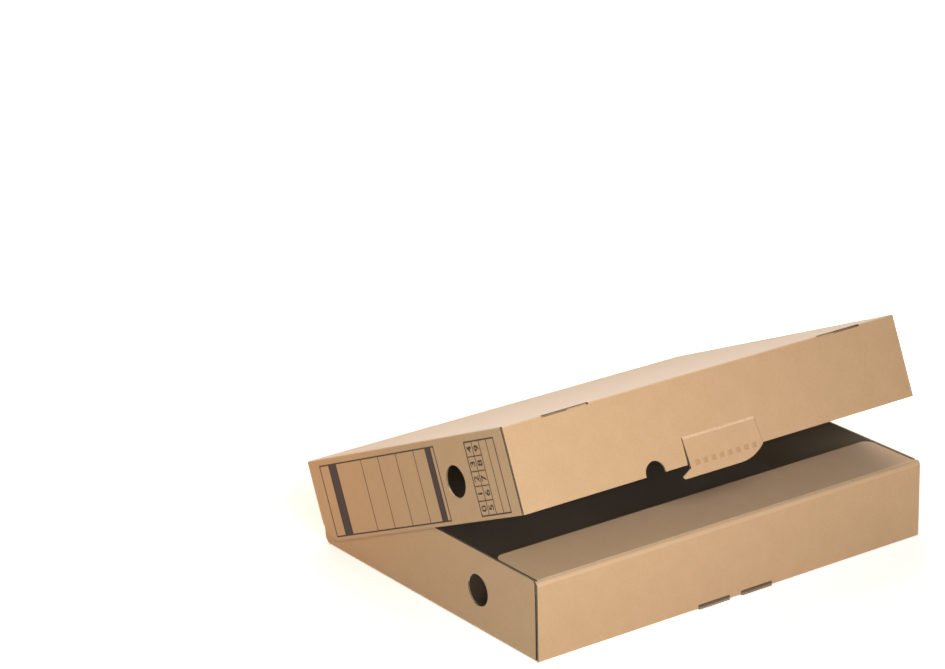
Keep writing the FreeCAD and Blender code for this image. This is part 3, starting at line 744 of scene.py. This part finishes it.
class ARCHIVEBOX_OT_number_grid(bpy.types.Operator):
    """Prints the number grid: the digits 0 to 9 in two rows, over two blank lines to write on"""
    bl_idname = "archive_box.number_grid"
    bl_label = "Number grid"

    near: bpy.props.FloatProperty(name="Front end", default=18 * MM, unit="LENGTH")
    far: bpy.props.FloatProperty(name="Back end", default=63 * MM, unit="LENGTH")
    low: bpy.props.FloatProperty(name="Lower edge", default=3.8 * MM, unit="LENGTH")
    high: bpy.props.FloatProperty(name="Upper edge", default=67.5 * MM, unit="LENGTH")

    def execute(self, context):
        look = context.scene.archive_print
        row = (self.far - self.near) / 4
        column = (self.high - self.low) / 5
        grid = start_piece("number_grid")
        ruled_frame(self.near, self.far, self.low, self.high, look.border, look.thickness)
        for count in (1, 2, 3):
            upright_line(self.near + count * row, self.low, self.high, look.rule, look.thickness)
        for count in (1, 2, 3, 4):
            level_line(self.far - 2 * row, self.far, self.low + count * column, look.rule, look.thickness)
        bpy.ops.object.mode_set(mode="OBJECT")
        digits = [self.add_digit(digit, row, column, look) for digit in range(10)]
        bpy.ops.object.select_all(action="DESELECT")
        for piece in digits + [grid]:
            piece.select_set(True)
        context.view_layer.objects.active = grid
        bpy.ops.object.join()
        place_on("lid", grid)
        grid.data.materials.clear()
        grid.data.materials.append(bpy.data.materials["printing_ink"])
        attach(grid, "lid")
        return {"FINISHED"}

    def add_digit(self, digit, row, column, look):
        """Sets one digit in its cell, to be read with the box standing on its front."""
        face, front, base = print_start()
        line, cell = divmod(digit, 5)
        place = Vector((face - look.thickness / 2, front + self.far - (line + 0.5) * row,
                        base + self.low + (cell + 0.5) * column))
        bpy.ops.object.select_all(action="DESELECT")
        bpy.ops.object.text_add()
        text = bpy.context.object
        text.data.body = str(digit)
        text.data.size = look.digit_height / DIGIT_SHARE
        text.data.align_x = "CENTER"
        text.data.align_y = "CENTER"
        text.data.offset = look.digit_height * BOLDER
        bpy.ops.object.convert(target="MESH")
        middle = sum((Vector(corner) for corner in text.bound_box), Vector()) / 8
        turned = Matrix((Z * look.digit_widening, Y, -X)).transposed().to_4x4()
        text.matrix_world = Matrix.Translation(place) @ turned @ Matrix.Translation(-middle)
        bpy.ops.object.transform_apply(location=True, rotation=True, scale=True)
        solid = text.modifiers.new("ink", "SOLIDIFY")
        solid.thickness = look.thickness
        solid.offset = 0
        bpy.ops.object.modifier_apply(modifier="ink")
        return text


class ARCHIVEBOX_OT_stage(bpy.types.Operator):
    """Sets the camera, the soft lamps and the pale floor"""
    bl_idname = "archive_box.stage"
    bl_label = "Stage"

    def execute(self, context):
        look = context.scene.archive_stage
        context.scene.view_settings.view_transform = "Standard"
        self.add_camera(context, look)
        self.add_floor(look)
        self.add_lamps(look)
        self.add_surroundings(context, look)
        return {"FINISHED"}

    def add_camera(self, context, look):
        turn = (Matrix.Rotation(-look.yaw, 4, Z) @ Matrix.Rotation(math.pi / 2 - look.pitch, 4, X)
                @ Matrix.Rotation(look.roll, 4, Z))
        place = Vector(look.target) + turn.to_3x3() @ Z * look.distance
        bpy.ops.object.camera_add(location=place, rotation=turn.to_euler())
        camera = context.object
        camera.name = "camera"
        camera.data.lens = look.focal_length
        camera.data.sensor_width = SENSOR_WIDTH
        camera.data.clip_end = CLIP_END
        context.scene.camera = camera

    def add_floor(self, look):
        """Adds the floor, which the camera sees lifted to white, but less so near the box and its shadow."""
        bpy.ops.object.select_all(action="DESELECT")
        bpy.ops.mesh.primitive_plane_add(size=FLOOR_SIZE, location=(0, 0, -FLOOR_DROP))
        floor = bpy.context.object
        floor.name = "floor"
        material = new_material("pale_floor")
        tree = material.node_tree
        matt = add_node(tree, "ShaderNodeBsdfDiffuse", None, {"Color": (*look.floor, 1)})
        place = add_node(tree, "ShaderNodeTexCoord").outputs["Object"]
        away = add_node(tree, "ShaderNodeVectorMath", {"operation": "LENGTH"}, {0: place}).outputs["Value"]
        far = ramp(tree, away, look.floor_near, look.floor_far)
        rise = math_node(tree, "MULTIPLY", far, 1 - look.floor_lift)
        strength = math_node(tree, "ADD", look.floor_lift, rise)
        lift = add_node(tree, "ShaderNodeEmission", None, {"Color": (1, 1, 1, 1), "Strength": strength})
        both = add_node(tree, "ShaderNodeAddShader", None, {0: matt.outputs[0], 1: lift.outputs[0]})
        rays = add_node(tree, "ShaderNodeLightPath").outputs
        seen = math_node(tree, "MAXIMUM", rays["Is Camera Ray"], rays["Is Glossy Ray"])
        shown = add_node(tree, "ShaderNodeMixShader", None, {0: seen, 1: matt.outputs[0], 2: both.outputs[0]})
        finish_material(tree, shown)
        floor.data.materials.append(material)

    def add_lamps(self, look):
        for name, (place, aim, size, power, colour) in LAMPS.items():
            self.add_lamp(name, place, aim, size, power * look.lamps, colour)

    def add_lamp(self, name, place, aim, size, power, colour):
        """Adds one large soft lamp that shines on a point."""
        turn = (Vector(aim) - Vector(place)).to_track_quat("-Z", "Y").to_euler()
        bpy.ops.object.light_add(type="AREA", location=place, rotation=turn)
        lamp = bpy.context.object
        lamp.name = name
        lamp.data.shape = "RECTANGLE"
        lamp.data.size, lamp.data.size_y = size
        lamp.data.energy = power
        lamp.data.color = linear(colour)
        lamp.visible_camera = False

    def add_surroundings(self, context, look):
        world = bpy.data.worlds.new("surroundings")
        context.scene.world = world
        world.use_nodes = True
        tree = world.node_tree
        tree.nodes.clear()
        around = add_node(tree, "ShaderNodeBackground", None, {
            "Color": (*look.sky_colour, 1), "Strength": look.sky})
        white = add_node(tree, "ShaderNodeBackground", None, {"Color": (1, 1, 1, 1), "Strength": 1.0})
        rays = add_node(tree, "ShaderNodeLightPath").outputs
        mirrored = math_node(tree, "MAXIMUM", rays["Is Glossy Ray"], rays["Is Transmission Ray"])
        seen = math_node(tree, "MAXIMUM", rays["Is Camera Ray"], mirrored)
        shown = add_node(tree, "ShaderNodeMixShader", None, {
            0: seen, 1: around.outputs[0], 2: white.outputs[0]})
        add_node(tree, "ShaderNodeOutputWorld", None, {"Surface": shown.outputs[0]})


class ARCHIVEBOX_PT_panel(bpy.types.Panel):
    """Lists the steps that finish the box, with their sizes and colours"""
    bl_label = "Archive box"
    bl_idname = "ARCHIVEBOX_PT_panel"
    bl_space_type = "VIEW_3D"
    bl_region_type = "UI"
    bl_category = "Archive box"

    def draw(self, context):
        steps = (
            (ARCHIVEBOX_OT_board, context.scene.archive_board),
            (ARCHIVEBOX_OT_creases, None),
            (ARCHIVEBOX_OT_label, context.scene.archive_print),
            (ARCHIVEBOX_OT_number_grid, None),
            (ARCHIVEBOX_OT_stage, context.scene.archive_stage),
        )
        for step, look in steps:
            self.layout.operator(step.bl_idname)
            for name in look.__annotations__ if look else ():
                self.layout.prop(look, name)


CLASSES = (
    BoardSettings,
    PrintSettings,
    StageSettings,
    ARCHIVEBOX_OT_board,
    ARCHIVEBOX_OT_creases,
    ARCHIVEBOX_OT_label,
    ARCHIVEBOX_OT_number_grid,
    ARCHIVEBOX_OT_stage,
    ARCHIVEBOX_PT_panel,
)


def register():
    for item in CLASSES:
        bpy.utils.register_class(item)
    bpy.types.Scene.archive_board = bpy.props.PointerProperty(type=BoardSettings)
    bpy.types.Scene.archive_print = bpy.props.PointerProperty(type=PrintSettings)
    bpy.types.Scene.archive_stage = bpy.props.PointerProperty(type=StageSettings)


def unregister():
    del bpy.types.Scene.archive_stage
    del bpy.types.Scene.archive_print
    del bpy.types.Scene.archive_board
    for item in reversed(CLASSES):
        bpy.utils.unregister_class(item)


def main():
    register()
    bpy.ops.archive_box.board()
    bpy.ops.archive_box.creases()
    bpy.ops.archive_box.label()
    bpy.ops.archive_box.number_grid()
    bpy.ops.archive_box.stage()


if __name__ == "__main__":
    main()
